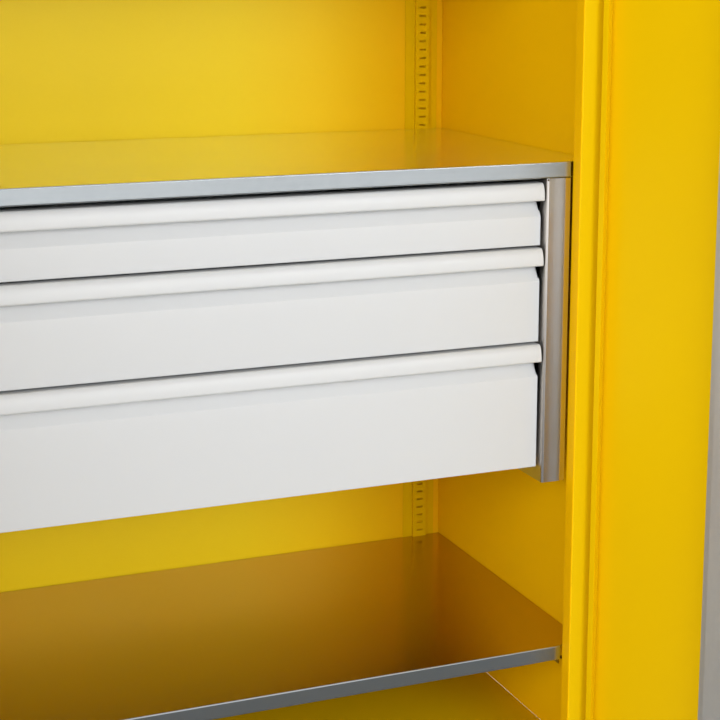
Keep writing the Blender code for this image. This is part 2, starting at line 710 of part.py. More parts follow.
def make_handle(pivot):
    """Lever, boss and spindle. It lies level here, which is the unlocked place."""
    face = LEAF_OUTER - 2 * FIT_GAP - PLATE_THICKNESS
    spindle_end = LEAF_OUTER + LEAF_SHEET + CASE_DEPTH - OVERRUN / 2
    origin = Vector((LOCK_INSET, face, LOCK_HEIGHT))
    lever_front = face - BOSS_LENGTH
    handle = block("door_handle",
                   (LOCK_INSET - LEVER_WIDTH / 2, lever_front - LEVER_THICKNESS / 2,
                    LOCK_HEIGHT - LEVER_WIDTH / 2),
                   (LOCK_INSET + LEVER_LENGTH, lever_front + LEVER_THICKNESS / 2,
                    LOCK_HEIGHT + LEVER_WIDTH / 2), BLACK_PLASTIC, bevel=LEVER_BEVEL)
    seat(handle, pivot, origin)
    boss = rod("handle_boss", (LOCK_INSET, face - BOSS_LENGTH / 2, LOCK_HEIGHT), "Y",
               BOSS_RADIUS, BOSS_LENGTH, None, CUTTERS)
    boolean(handle, as_cutter(boss, pivot), "UNION")
    middle = (face - BOSS_LENGTH / 2 + spindle_end) / 2
    spindle = rod("handle_spindle", (LOCK_INSET, middle, LOCK_HEIGHT), "Y", SPINDLE_RADIUS,
                  spindle_end - face + BOSS_LENGTH / 2, None, CUTTERS)
    boolean(handle, as_cutter(spindle, pivot), "UNION")


def make_key_cylinder(pivot):
    height = LOCK_HEIGHT - KEY_DROP
    face = LEAF_OUTER - FIT_GAP - PLATE_THICKNESS - KEY_PROUD
    end = LEAF_OUTER + LEAF_SHEET + CASE_DEPTH / 2
    key = rod("key_cylinder", (LOCK_INSET, (face + end) / 2, height), "Y", KEY_RADIUS,
              end - face, CHROME)
    seat(key, pivot, (LOCK_INSET, face, height))
    slot = box_cutter("cut_key_slot",
                      (LOCK_INSET - KEY_SLOT_WIDTH / 2, face - KEY_SLOT_DEPTH,
                       height - KEY_SLOT_LENGTH / 2),
                      (LOCK_INSET + KEY_SLOT_WIDTH / 2, face + KEY_SLOT_DEPTH,
                       height + KEY_SLOT_LENGTH / 2), pivot)
    boolean(key, slot)


def bore_lock(leaf, case, plate, pivot):
    """Bore the leaf, its lock case and its handle plate for the spindle and the cylinder."""
    bores = {"spindle": (LOCK_HEIGHT, SPINDLE_RADIUS), "key": (LOCK_HEIGHT - KEY_DROP, KEY_RADIUS)}
    for name, (height, radius) in bores.items():
        cutter = hole_cutter("cut_" + name, (LOCK_INSET, LEAF_OUTER, height), "Y",
                             radius + FIT_GAP, 2 * LEAF_THICKNESS + OVERRUN, pivot)
        for piece in (leaf, case, plate):
            boolean(piece, cutter)


def make_lock_rods(pivot):
    ends = {"upper": (LOCK_HEIGHT + CASE_HEIGHT / 2 - ROD_ENGAGED, LEAF_TOP - ROD_TIP_INSET),
            "lower": (LOCK_HEIGHT - CASE_HEIGHT / 2 + ROD_ENGAGED, LEAF_LOW + ROD_TIP_INSET)}
    for name, (inner, tip) in ends.items():
        bar = rod("lock_rod_" + name, (LOCK_INSET, PIVOT_Y, (inner + tip) / 2), "Z", ROD_RADIUS,
                  abs(tip - inner), BRIGHT_ZINC)
        seat(bar, pivot, (LOCK_INSET, PIVOT_Y, inner))


def make_door_bolts(pivot):
    """Bolts of the left leaf, each with a knob that reaches out of the leaf's open back."""
    ends = {"upper": (LEAF_TOP - ROD_TIP_INSET, -1), "lower": (LEAF_LOW + ROD_TIP_INSET, 1)}
    for name, (tip, way) in ends.items():
        bolt = rod("door_bolt_" + name, (-LOCK_INSET, PIVOT_Y, tip + way * BOLT_LENGTH / 2), "Z",
                   ROD_RADIUS, BOLT_LENGTH, BRIGHT_ZINC)
        seat(bolt, pivot, (-LOCK_INSET, PIVOT_Y, tip))
        knob = rod(f"bolt_knob_{name}",
                   (-LOCK_INSET, PIVOT_Y + KNOB_LENGTH / 2, tip + way * KNOB_FROM_END), "Y",
                   KNOB_RADIUS, KNOB_LENGTH, None, CUTTERS)
        boolean(bolt, as_cutter(knob, pivot), "UNION")


def make_doors():
    leaves = {}
    for side, hand in HANDS.items():
        pivot = door_empty(side, hand)
        leaves[side] = (make_leaf(side, hand, pivot), pivot)
        make_stiffener(side, hand, pivot)
    leaf, pivot = leaves["right"]
    bore_lock(leaf, make_lock_case(pivot), make_handle_plate(pivot), pivot)
    make_handle(pivot)
    make_key_cylinder(pivot)
    make_lock_rods(pivot)
    make_meeting_strip(leaves["left"][1])
    make_door_bolts(leaves["left"][1])


def shade_round_pieces():
    for piece in PARTS.objects:
        if piece.type == "MESH":
            piece.data.shade_smooth()
            piece.data.set_sharp_from_angle(angle=math.radians(30))


def main():
    for side, hand in HANDS.items():
        make_side_wall(side, hand)
        make_slotted_rail(side, hand, make_slot_cutter(side, hand))
        make_block_side(side, hand)
    make_rear_panel()
    make_caps()
    make_plinth()
    make_shelf("shelf_lower", LOWER_SHELF)
    make_shelf("shelf_middle", MIDDLE_SHELF)
    make_shelf("shelf_upper", UPPER_SHELF)
    for level, top in (("lower", LOWER_SHELF), ("upper", UPPER_SHELF)):
        for side, hand in HANDS.items():
            make_bearer(f"shelf_bearer_{level}_{side}", top, hand)
    make_drawers()
    make_hinge_pins()
    make_doors()
    shade_round_pieces()


main()
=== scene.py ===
import math

import bmesh
import bpy
from mathutils import Matrix, Vector


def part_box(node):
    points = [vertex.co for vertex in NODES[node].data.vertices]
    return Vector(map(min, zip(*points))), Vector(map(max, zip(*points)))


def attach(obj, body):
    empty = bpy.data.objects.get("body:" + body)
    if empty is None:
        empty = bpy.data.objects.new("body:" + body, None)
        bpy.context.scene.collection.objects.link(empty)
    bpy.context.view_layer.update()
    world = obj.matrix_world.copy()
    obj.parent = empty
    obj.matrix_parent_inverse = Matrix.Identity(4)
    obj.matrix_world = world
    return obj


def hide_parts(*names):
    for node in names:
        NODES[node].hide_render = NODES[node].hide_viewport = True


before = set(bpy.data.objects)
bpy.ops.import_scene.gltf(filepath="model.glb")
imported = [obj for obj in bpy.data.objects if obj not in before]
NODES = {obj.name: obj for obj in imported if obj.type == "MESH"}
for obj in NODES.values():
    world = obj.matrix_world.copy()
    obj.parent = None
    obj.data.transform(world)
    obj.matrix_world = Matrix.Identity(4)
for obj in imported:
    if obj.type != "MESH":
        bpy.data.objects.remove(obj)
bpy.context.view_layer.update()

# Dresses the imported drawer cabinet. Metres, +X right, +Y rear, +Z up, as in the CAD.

HANDS = {"left": -1, "right": 1}
INWARD, OUTWARD = Vector((0, 1, 0)), Vector((0, -1, 0))

# Sizes that the small parts take from the CAD
OPEN_ANGLE = math.radians(113.5)
SHEET = 0.001
SKIN = 0.0012
DOOR_GAP = 0.003
MEETING_GAP = 0.003
SHEET_GAP = 0.0003
GRIP_HEIGHT = 0.027
GRIP_SETBACK = 0.0085
GRIP_CURL = 0.003
RECESS_DEPTH = 0.0254
RECESS_FLAT = 0.002
RECESS_HEIGHT = 0.025
FACE_SETBACK = 0.0124
STIFFENER_WIDTH = 0.205
STIFFENER_FOOT = 0.0175
LOCK_INSET = 0.045
LOCK_HEIGHT = 1.020
CASE_DEPTH = 0.0165
PLATE_THICKNESS = 0.004

# Sizes of the small parts
FOLD = 0.0018
GRIP_STEPS = 24
CURL_STEPS = 6
WELD_LINE = 0.5855
WELD_PITCH = 0.080
WELD_RADIUS = 0.003
STIFFENER_WELDS = 21
STIFFENER_WELD_PITCH = 0.0815
STIFFENER_WELD_START = 0.060
CASE_SCREW_ACROSS = 0.017
CASE_SCREW_ALONG = 0.064
PLATE_SCREW_HEIGHTS = 0.936, 1.070
TRAY_RIVET_REACHES = 0.040, 0.240, 0.440
FRONT_RIVET_PLACES = -0.45, -0.15, 0.15, 0.45
RIB_COUNT = 18
RIB_PITCH = 0.025
RIB_START = 0.030
RIB_RADIUS = 0.0012
RIB_TAPER = 0.002
LEVER_REACH = 0.119
LEVER_HALF_WIDTH = 0.009
LEVER_HALF_DEPTH = 0.0045
LEVER_STAND_OFF = 0.016
SPINDLE_RADIUS = 0.005

# Sections of the small turned parts: radius, height, number of sides
WELD_MARK = ((0.0026, -0.0001, 12), (0.0026, 0.00012, 12), (0.0020, 0.0002, 12),
             (0.0015, 0.00005, 12))
SOCKET_SCREW = ((0.0040, -0.0004, 12), (0.0040, 0.0005, 12), (0.0036, 0.0013, 12),
                (0.0024, 0.0019, 12), (0.0018, 0.0020, 6), (0.0016, 0.0018, 6),
                (0.0015, 0.0007, 6))
BLIND_RIVET = ((0.0034, -0.0003, 12), (0.0034, 0.0003, 12), (0.0029, 0.0010, 12),
               (0.0018, 0.0014, 12), (0.0011, 0.0015, 12), (0.0009, 0.0010, 12))

# Studio: name, place, aim, width, height, power, seen in reflections
LAMPS = (
    ("key_lamp", (-4.0, -7.7, 3.2), (0, 0, 1.1), 4.6, 4.6, 150, True),
    ("front_lamp", (1.4, -8.6, 2.6), (0, 0, 1.2), 4.0, 4.0, 232, False),
    ("left_lamp", (-4.6, -4.4, 2.4), (0.4, -0.3, 1.1), 2.4, 2.4, 148, False),
    ("strip_lamp", (3.6, -8.2, 3.3), (0, 0, 1.2), 5.0, 0.8, 105, True),
    ("top_lamp", (0, 2.6, 6.4), (0, 0.2, 1.5), 5.0, 5.0, 260, False),
    ("rear_lamp", (-4.2, 5.0, 3.2), (0, 0, 1.0), 3.4, 3.4, 110, True),
    ("side_lamp", (6.0, 1.6, 2.8), (0, 0, 1.0), 3.4, 3.4, 135, True),
    ("far_side_lamp", (-6.0, 1.6, 2.8), (0, 0, 1.0), 3.4, 3.4, 110, True),
)
WORLD_LIGHT = 0.22
FLOOR_REACH = 9.0
FLOOR_DROP = 0.0006
FLOOR_FADE_START = 2.0
FLOOR_FADE_END = 8.5
FLOOR_FADE = 0.75
CAMERA_FROM_CORNER = -1.2345, -2.1832, 0.2850
CAMERA_PITCH = math.radians(-10.199)
CAMERA_YAW = math.radians(-21.958)
CAMERA_LENS = 82.454
CAMERA_SENSOR = 36
CAMERA_SHIFT = -0.13
CAMERA_CLIP = 60


# Node trees

class Link:
    """An output socket of a node. Arithmetic on it adds Math nodes to its tree."""

    def __init__(self, graph, socket):
        self.graph = graph
        self.socket = socket

    def out(self, name):
        return Link(self.graph, self.socket.node.outputs[name])

    def math(self, operation, first, second):
        return self.graph.node("ShaderNodeMath", {"operation": operation}, {0: first, 1: second})

    def __add__(self, other):
        return self.math("ADD", self, other)

    def __sub__(self, other):
        return self.math("SUBTRACT", self, other)

    def __rsub__(self, other):
        return self.math("SUBTRACT", other, self)

    def __mul__(self, other):
        return self.math("MULTIPLY", self, other)

    def __truediv__(self, other):
        return self.math("DIVIDE", self, other)

    def __pow__(self, other):
        return self.math("POWER", self, other)

    def __gt__(self, other):
        return self.math("GREATER_THAN", self, other)

    def __lt__(self, other):
        return self.math("LESS_THAN", self, other)

    def __mod__(self, other):
        return self.math("FLOORED_MODULO", self, other)

    def __abs__(self):
        return self.math("ABSOLUTE", self, 0)

    __radd__ = __add__
    __rmul__ = __mul__


class Graph:
    """A shader or geometry tree, whose nodes are all added through one method."""

    def __init__(self, tree):
        self.tree = tree

    def node(self, kind, settings=None, sockets=None, output=0):
        made = self.tree.nodes.new(kind)
        for name, value in (settings or {}).items():
            setattr(made, name, value)
        for key, value in (sockets or {}).items():
            if isinstance(value, Link):
                self.tree.links.new(value.socket, made.inputs[key])
            else:
                made.inputs[key].default_value = value
        return Link(self, made.outputs[output]) if made.outputs else made


class Finish(Graph):
    """A material around one Principled shader."""

    def __init__(self, name):
        self.material = bpy.data.materials.new(name)
        self.material.use_nodes = True
        super().__init__(self.material.node_tree)
        self.shader = self.tree.nodes["Principled BSDF"]
        self.place = self.node("ShaderNodeTexCoord").out("Object")
        self.facing = self.node("ShaderNodeNewGeometry").out("Normal")

    def axis(self, vector, name):
        return self.node("ShaderNodeSeparateXYZ", None, {0: vector}, name)

    def stretched(self, scale):
        return self.node("ShaderNodeMapping", None, {"Vector": self.place, "Scale": scale})

    def noise(self, size, detail=2, vector=None, rough=0.5):
        """Noise whose lumps are about so many metres across."""
        return self.node("ShaderNodeTexNoise", None,
                         {"Vector": vector or self.place, "Scale": 1 / size, "Detail": detail,
                          "Roughness": rough})

    def spread(self, value, low, high, start=0.25, end=0.75):
        """Map a range, as given the middle half of a noise, onto low to high."""
        return self.node("ShaderNodeMapRange", {"clamp": True},
                         {"Value": value, "From Min": start, "From Max": end, "To Min": low,
                          "To Max": high})

    def mix(self, share, first, second):
        made = self.tree.nodes.new("ShaderNodeMix")
        made.data_type = "RGBA"
        for key, value in ((0, share), (6, first), (7, second)):
            if isinstance(value, Link):
                self.tree.links.new(value.socket, made.inputs[key])
            else:
                made.inputs[key].default_value = (*value, 1) if key else value
        return Link(self, made.outputs[2])

    def bump(self, height, depth, strength=1.0, under=None):
        sockets = {"Height": height, "Distance": depth, "Strength": strength}
        if under:
            sockets["Normal"] = under
        return self.node("ShaderNodeBump", None, sockets)

    def surface(self, **sockets):
        for name, value in sockets.items():
            key = name.replace("_", " ")
            if isinstance(value, Link):
                self.tree.links.new(value.socket, self.shader.inputs[key])
            elif isinstance(value, tuple):
                self.shader.inputs[key].default_value = (*value, 1)
            else:
                self.shader.inputs[key].default_value = value
        return self.material


# Finishes

def powder_coat(name, colour, deep, gloss, sheen, dusty=0.0, inner=None, corner=None,
                welds=False):
    """Stoved powder paint: orange peel, slight waviness of the sheet, a cloudy and fine-grained
    tone. Its roughness stays above 0.28, below which the cleaned picture shows patches.

    inner is a painted tone for the faces that look into the carcass: painted light, standing in
    for the glow of light bounced inside it; corner is the painted shade it deepens to next to the
    side walls. With welds, the marks of the spot welds show through the paint along the
    rear flanges.
    """
    coat = Finish(name)
    cloud = coat.spread(coat.noise(0.35, 3), 0.0, 1.0)
    grain = coat.spread(coat.noise(0.0012, 1), 0.0, 1.0)
    tone = coat.mix(cloud * 0.55 + grain * 0.25, colour, deep)
    # Painted light and shade: inward faces take the inner tone, and with a corner tone a painted
    # shade that deepens towards the side walls.
    if inner:
        sideways = coat.axis(coat.facing, "X") * coat.axis(coat.place, "X")
        inward = sideways + coat.axis(coat.facing, "Y") * coat.axis(coat.place, "Y")
        if corner:
            # Painted shade: the share of the corner tone grows towards the side walls.
            painted_corner_shade = coat.spread(abs(coat.axis(coat.place, "X")), 0.0, 1.0, 0.20, 0.54)
            inner = coat.mix(painted_corner_shade, inner, corner)
        tone = coat.mix((inward < -0.15) * (1 - grain * 0.2), tone, inner)
    patches = coat.spread(coat.noise(0.05, 4), 0.2, 1.0)
    settled = (coat.axis(coat.facing, "Z") > 0.8) * dusty * patches
    tone = coat.mix(settled, tone, (0.55, 0.53, 0.48))
    rough = coat.spread(coat.noise(0.09, 3), gloss - 0.03, gloss + 0.05) + settled * 0.3
    relief = coat.bump(coat.noise(0.22, 1), 0.0009, 0.5)
    if welds:
        across = (abs(coat.axis(coat.place, "X")) - WELD_LINE) / WELD_RADIUS
        along = (coat.axis(coat.place, "Z") % WELD_PITCH - WELD_PITCH / 2) / WELD_RADIUS
        mark = (across ** 2 + along ** 2 < 1) * (coat.axis(coat.facing, "Y") > 0.8)
        relief = coat.bump(1 - mark, 0.0002, 0.8, relief)
    peel = coat.bump(coat.noise(0.0035, 2), 0.00006, 0.55, relief)
    return coat.surface(Base_Color=tone, Roughness=rough, Normal=peel, Specular_IOR_Level=sheen)


def sheet_metal(name, colour, tarnish, gloss, run, spangle=0.6, dull_sides=0.0, top=None,
                metal=1.0):
    """Smooth galvanised sheet: faint rolling streaks along one direction and a low spangle.

    dull_sides is added to the roughness of faces that look sideways; top is a painted tone for
    the faces that look up, standing in for the light and reflections that the tops get; metal is
    below 1 on weathered zinc.
    """
    sheet = Finish(name)
    along = sheet.stretched(run)
    streak = sheet.spread(sheet.noise(1 / 260, 3, along), 0.0, 1.0)
    broad = sheet.spread(sheet.noise(1 / 40, 2, along), 0.0, 1.0)
    cells = sheet.node("ShaderNodeTexVoronoi", {"feature": "F1"},
                       {"Vector": sheet.place, "Scale": 1 / 0.009}).out("Color")
    shade = sheet.node("ShaderNodeSeparateColor", None, {0: cells})
    cloud = sheet.spread(sheet.noise(0.16, 3), 0.0, 1.0)
    tone = sheet.mix(cloud * 0.4 + shade * 0.22 * spangle + streak * 0.2, colour, tarnish)
    if top:
        # Painted light: faces that look up take the top tone in place of the light and
        # reflections they get.
        film = (sheet.axis(sheet.facing, "Z") > 0.9) * (1 - cloud * 0.12 - shade * 0.08 * spangle)
        tone = sheet.mix(film, tone, top)
    rough = gloss + shade * 0.02 * spangle + streak * 0.03 + broad * 0.02
    if dull_sides:
        rough = rough + (abs(sheet.axis(sheet.facing, "X")) > 0.9) * dull_sides
    wave = sheet.bump(sheet.noise(0.26, 1), 0.0007, 0.5)
    line = sheet.bump(streak, 0.00002, 0.25, wave)
    return sheet.surface(Base_Color=tone, Roughness=rough, Metallic=metal, Normal=line)


def zinc_plate(name, colour, tint, gloss):
    """Bright zinc plate on small parts: a bluish film that turns faintly straw-coloured."""
    plate = Finish(name)
    film = plate.spread(plate.noise(0.018, 3), 0.0, 1.0)
    grain = plate.spread(plate.noise(0.0008, 2), 0.0, 1.0)
    tone = plate.mix(film * 0.8, colour, tint)
    rough = gloss + film * 0.07 + grain * 0.05
    return plate.surface(Base_Color=tone, Roughness=rough, Metallic=1.0,
                         Normal=plate.bump(grain, 0.00002, 0.3))


def moulded_plastic(name, colour, worn, gloss):
    """Moulded plastic with a fine spark-eroded grain."""
    mould = Finish(name)
    grain = mould.noise(0.0007, 3)
    handled = mould.spread(mould.noise(0.03, 2), 0.0, 1.0)
    tone = mould.mix(handled * 0.5, colour, worn)
    rough = gloss - handled * 0.08 + mould.spread(grain, 0.0, 0.08)
    return mould.surface(Base_Color=tone, Roughness=rough,
                         Normal=mould.bump(grain, 0.00005, 0.5))


def polished_metal(name, colour, gloss):
    """Chrome plate with fine turning marks."""
    chrome = Finish(name)
    marks = chrome.spread(chrome.noise(0.0004, 2), 0.0, 1.0)
    smear = chrome.spread(chrome.noise(0.006, 2), 0.0, 1.0)
    return chrome.surface(Base_Color=chrome.mix(smear * 0.3, colour, (0.62, 0.63, 0.65)),
                          Roughness=gloss + marks * 0.05 + smear * 0.05, Metallic=1.0,
                          Normal=chrome.bump(marks, 0.000008, 0.3))


YELLOW_TONES = (0.810, 0.520, 0.001), (0.785, 0.495, 0.001)
YELLOW = powder_coat("yellow_powder_coat", *YELLOW_TONES, 0.34, 0.07)
# Painted shade: the wall's outer tone is a darker copy of the yellow so that the front posts look
# less lit, and its inward faces take a painted orange glow of bounced light.
WALL_YELLOW_PAINTED_SHADE = powder_coat("yellow_wall_coat_painted_shade", (0.750, 0.490, 0.001), (0.730, 0.470, 0.001),
                          0.34, 0.06, inner=(0.980, 0.545, 0.001), welds=True)
# Painted light: the rear panel's inward face has a paler lemon tone as if more strongly lit,
# deepening to a painted orange shade towards the side walls.
REAR_YELLOW_PAINTED_LIGHT = powder_coat("yellow_rear_coat_painted_light_and_shade", *YELLOW_TONES, 0.33, 0.22,
                          inner=(0.985, 0.725, 0.012), corner=(0.960, 0.540, 0.003))
DUSTED_YELLOW = powder_coat("yellow_roof_coat", *YELLOW_TONES, 0.34, 0.07, dusty=0.10)
GREY = powder_coat("grey_powder_coat", (0.596, 0.612, 0.626), (0.576, 0.592, 0.606), 0.33,
                   0.65)
DARK = powder_coat("dark_powder_coat", (0.050, 0.051, 0.054), (0.036, 0.037, 0.040), 0.42, 0.45,
                   dusty=0.12)
# Painted light and shade: the middle shelf's top is painted near white as a highlight of the
# light from above, the low shelf's top a darker warm tone as painted shade and a painted orange
# reflection of the yellow walls.
SHELF_METAL = sheet_metal("galvanised_shelf_sheet_painted_highlight", (0.44, 0.47, 0.485), (0.39, 0.42, 0.435),
                          0.19, (0.02, 1, 1), top=(0.92, 0.95, 0.98))
LOW_SHELF_METAL = sheet_metal("galvanised_low_shelf_sheet_painted_shade", (0.44, 0.47, 0.485),
                              (0.39, 0.42, 0.435), 0.15, (0.02, 1, 1), top=(0.61, 0.440, 0.38))
PANEL_METAL = sheet_metal("galvanised_sheet_upright", (0.60, 0.555, 0.51), (0.54, 0.50, 0.46),
                          0.07, (1, 1, 0.02), dull_sides=0.28)
STIFFENER_METAL = sheet_metal("galvanised_sheet_dull", (0.56, 0.57, 0.57), (0.49, 0.50, 0.51),
                              0.34, (1, 1, 0.02), spangle=1.0, metal=0.55)
TRAY_METAL = sheet_metal("galvanised_tray_sheet", (0.66, 0.68, 0.69), (0.55, 0.57, 0.58), 0.29,
                         (1, 0.02, 1), metal=0.8)
ZINC = zinc_plate("bright_zinc_plate", (0.70, 0.715, 0.73), (0.66, 0.65, 0.60), 0.29)
PLASTIC = moulded_plastic("black_moulded_plastic", (0.022, 0.022, 0.024),
                          (0.035, 0.035, 0.037), 0.42)
CHROME = polished_metal("polished_chrome", (0.80, 0.80, 0.80), 0.08)

NODE_FINISHES = {
    "side_wall": WALL_YELLOW_PAINTED_SHADE, "rear_panel": REAR_YELLOW_PAINTED_LIGHT, "roof_panel": DUSTED_YELLOW,
    "base_panel": YELLOW, "slotted_rail": YELLOW, "door_leaf": YELLOW, "meeting_strip": YELLOW,
    "plinth_frame": DARK,
    "shelf_bearer": PANEL_METAL, "shelf_lower": LOW_SHELF_METAL, "shelf": SHELF_METAL,
    "block_side_panel": PANEL_METAL,
    "door_stiffener": STIFFENER_METAL, "drawer_front": GREY, "drawer_tray": TRAY_METAL,
    "runner": ZINC, "hinge_pin": ZINC, "lock": ZINC, "door_bolt": ZINC,
    "door_handle": PLASTIC, "handle_plate": PLASTIC, "key_cylinder": CHROME,
}


def finish_nodes():
    for name, node in NODES.items():
        kind = next(start for start in NODE_FINISHES if name.startswith(start))
        node.data.materials.clear()
        node.data.materials.append(NODE_FINISHES[kind])


# Meshes

def add_object(name, mesh):
    item = bpy.data.objects.new(name, mesh)
    bpy.context.scene.collection.objects.link(item)
    return item


def mesh_from(name, shape, finish):
    mesh = bpy.data.meshes.new(name)
    bmesh.ops.recalc_face_normals(shape, faces=shape.faces)
    shape.to_mesh(mesh)
    shape.free()
    mesh.materials.append(finish)
    return mesh


def settle(name, source):
    """Replace a source object by the plain mesh that its modifiers give."""
    depsgraph = bpy.context.evaluated_depsgraph_get()
    mesh = bpy.data.meshes.new_from_object(source.evaluated_get(depsgraph))
    bpy.data.objects.remove(source, do_unlink=True)
    mesh.name = name
    mesh.shade_smooth()
    mesh.set_sharp_from_angle(angle=math.radians(32))
    return add_object(name, mesh)


def hand_over(piece, body, replaced=None):
    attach(piece, body)
    if replaced:
        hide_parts(replaced)


def loft(shape, rings):
    """Skin rings of points with equal counts, and close the first and the last."""
    rows = [[shape.verts.new(point) for point in ring] for ring in rings]
    for row, following in zip(rows, rows[1:]):
        for first in range(len(row)):
            second = (first + 1) % len(row)
            shape.faces.new((row[first], row[second], following[second], following[first]))
    for row in (rows[0], rows[-1]):
        shape.faces.new(row)


def disc_rings(profile, segments=12):
    """Rings about Z from (radius, height, side count); six sides make a hexagon."""
    rings = []
    for radius, height, sides in profile:
        ring = []
        for step in range(segments):
            flat = step % 2 and sides == 6
            reach = radius * (math.cos(math.pi / 6) if flat else 1)
            angle = 2 * math.pi * step / segments
            ring.append((reach * math.cos(angle), reach * math.sin(angle), height))
        rings.append(ring)
    return rings


def small_part(name, rings, finish):
    """A part to be repeated on points, drawn standing on Z = 0."""
    shape = bmesh.new()
    loft(shape, rings)
    return add_object(name, mesh_from(name, shape, finish))


def make_repeat_tree():
    """Sets a small part on each point, turned to the point's aim."""
    tree = bpy.data.node_groups.new("repeat_on_points", "GeometryNodeTree")
    for label, kind in (("Points", "Geometry"), ("Part", "Object"), ("Size", "Float"),
                        ("Finish", "Material")):
        tree.interface.new_socket(label, in_out="INPUT", socket_type="NodeSocket" + kind)
    tree.interface.new_socket("Parts", in_out="OUTPUT", socket_type="NodeSocketGeometry")
    graph = Graph(tree)
    given = graph.node("NodeGroupInput")
    part = graph.node("GeometryNodeObjectInfo", {"transform_space": "ORIGINAL"},
                      {"Object": given.out("Part")}, "Geometry")
    aim = graph.node("GeometryNodeInputNamedAttribute", {"data_type": "FLOAT_VECTOR"},
                     {"Name": "aim"})
    turn = graph.node("FunctionNodeAlignRotationToVector", {"axis": "Z"}, {"Vector": aim},
                      "Rotation")
    parts = graph.node("GeometryNodeInstanceOnPoints", None,
                       {"Points": given.out("Points"), "Instance": part, "Rotation": turn,
                        "Scale": given.out("Size")})
    real = graph.node("GeometryNodeRealizeInstances", None, {0: parts})
    dressed = graph.node("GeometryNodeSetMaterial", None,
                         {"Geometry": real, "Material": given.out("Finish")})
    graph.node("NodeGroupOutput", None, {0: dressed})
    return tree


REPEAT = make_repeat_tree()


def repeat_part(name, part, places, finish, body, size=1.0):
    """places holds each point with the direction in which the part stands there."""
    mesh = bpy.data.meshes.new(name)
    mesh.from_pydata([point for point, _ in places], [], [])
    aims = mesh.attributes.new("aim", "FLOAT_VECTOR", "POINT")
    aims.data.foreach_set("vector", [value for _, aim in places for value in aim])
    source = add_object(name + "_points", mesh)
    spread = source.modifiers.new("repeat", "NODES")
    spread.node_group = REPEAT
    keys = {item.name: item.identifier for item in REPEAT.interface.items_tree
            if item.in_out == "INPUT"}
    for label, value in (("Part", part), ("Size", size), ("Finish", finish)):
        spread[keys[label]] = value
    hand_over(settle(name, source), body)


# Drawer fronts

def rounded(points, radius, steps=5):
    """Replace each inner corner of an outline with an arc, smaller where its sides are short."""
    points = [Vector(point) for point in points]
    result = [points[0]]
    for before, corner, after in zip(points, points[1:], points[2:]):
        back, ahead = before - corner, after - corner
        half = back.angle(ahead) / 2
        if half > math.radians(82):
            result.append(corner)
            continue
        reach = min(radius / math.tan(half), back.length * 0.45, ahead.length * 0.45)
        first, last = corner + back.normalized() * reach, corner + ahead.normalized() * reach
        for step in range(steps + 1):
            share = step / steps
            result.append((1 - share) ** 2 * first + 2 * share * (1 - share) * corner
                          + share ** 2 * last)
    result.append(points[-1])
    return result


def front_outline(plane, back, bottom, top):
    """Outer face of a drawer front: rolled grip, finger recess, slope, flat face, folded foot."""
    crown = GRIP_HEIGHT - GRIP_CURL
    grip = []
    for step in range(GRIP_STEPS + 1):
        angle = math.pi / 2 * step / GRIP_STEPS
        grip.append(Vector((plane + GRIP_SETBACK * (1 - math.sin(angle)),
                            top - crown * (1 - math.cos(angle)))))
    for step in range(1, CURL_STEPS + 1):
        angle = math.pi / 2 * step / CURL_STEPS
        grip.append(Vector((plane + GRIP_CURL * (1 - math.cos(angle)),
                            top - crown - GRIP_CURL * math.sin(angle))))
    recess = top - GRIP_HEIGHT
    below = rounded([grip[-1], (plane + RECESS_DEPTH, recess),
                     (plane + RECESS_DEPTH, recess - RECESS_FLAT),
                     (plane + FACE_SETBACK, recess - RECESS_HEIGHT),
                     (plane + FACE_SETBACK, bottom), (back, bottom)], FOLD)
    return [Vector((back, top)), *grip, *below[1:]]


def sunk(outline, depth):
    """An outline moved back into its sheet, which lies on the left of its direction."""
    moved = []
    for index, point in enumerate(outline):
        before, after = outline[max(index - 1, 0)], outline[min(index + 1, len(outline) - 1)]
        ahead = (after - before).normalized()
        moved.append(point + Vector((-ahead.y, ahead.x)) * depth)
    return moved


def make_drawer_front(number):
    low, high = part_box(f"drawer_front_{number}")
    outline = front_outline(low.y, high.y, low.z, high.z)
    shape = bmesh.new()
    rows = [[shape.verts.new((x, y, z)) for y, z in outline] for x in (low.x, high.x)]
    for step in range(len(outline) - 1):
        shape.faces.new((rows[0][step], rows[0][step + 1], rows[1][step + 1], rows[1][step]))
    name = f"rolled_drawer_front_{number}"
    mesh = bpy.data.meshes.new(name)
    shape.normal_update()
    if sum(face.normal.y for face in shape.faces) > 0:
        bmesh.ops.reverse_faces(shape, faces=shape.faces)
    shape.to_mesh(mesh)
    shape.free()
    mesh.materials.append(GREY)
    source = add_object(name + "_sheet", mesh)
    wall = source.modifiers.new("sheet", "SOLIDIFY")
    wall.thickness, wall.offset, wall.use_even_offset = SHEET, -1, True
    hand_over(settle(name, source), f"drawer_{number}", f"drawer_front_{number}")
    make_front_ends(number, low, high, outline)


def make_front_ends(number, low, high, outline):
    """Plates that close the two ends of a drawer front, set just inside its folded sheet."""
    border = sunk(outline, SHEET / 2)
    shape = bmesh.new()
    for inner, outer in ((high.x - 1.6 * SHEET, high.x - 0.4 * SHEET),
                         (low.x + 1.6 * SHEET, low.x + 0.4 * SHEET)):
        loft(shape, [[(x, y, z) for y, z in border] for x in (inner, outer)])
    bmesh.ops.triangulate(shape, faces=[face for face in shape.faces if len(face.verts) > 4])
    name = f"drawer_front_ends_{number}"
    piece = add_object(name, mesh_from(name, shape, GREY))
    hand_over(piece, f"drawer_{number}")


# Small parts

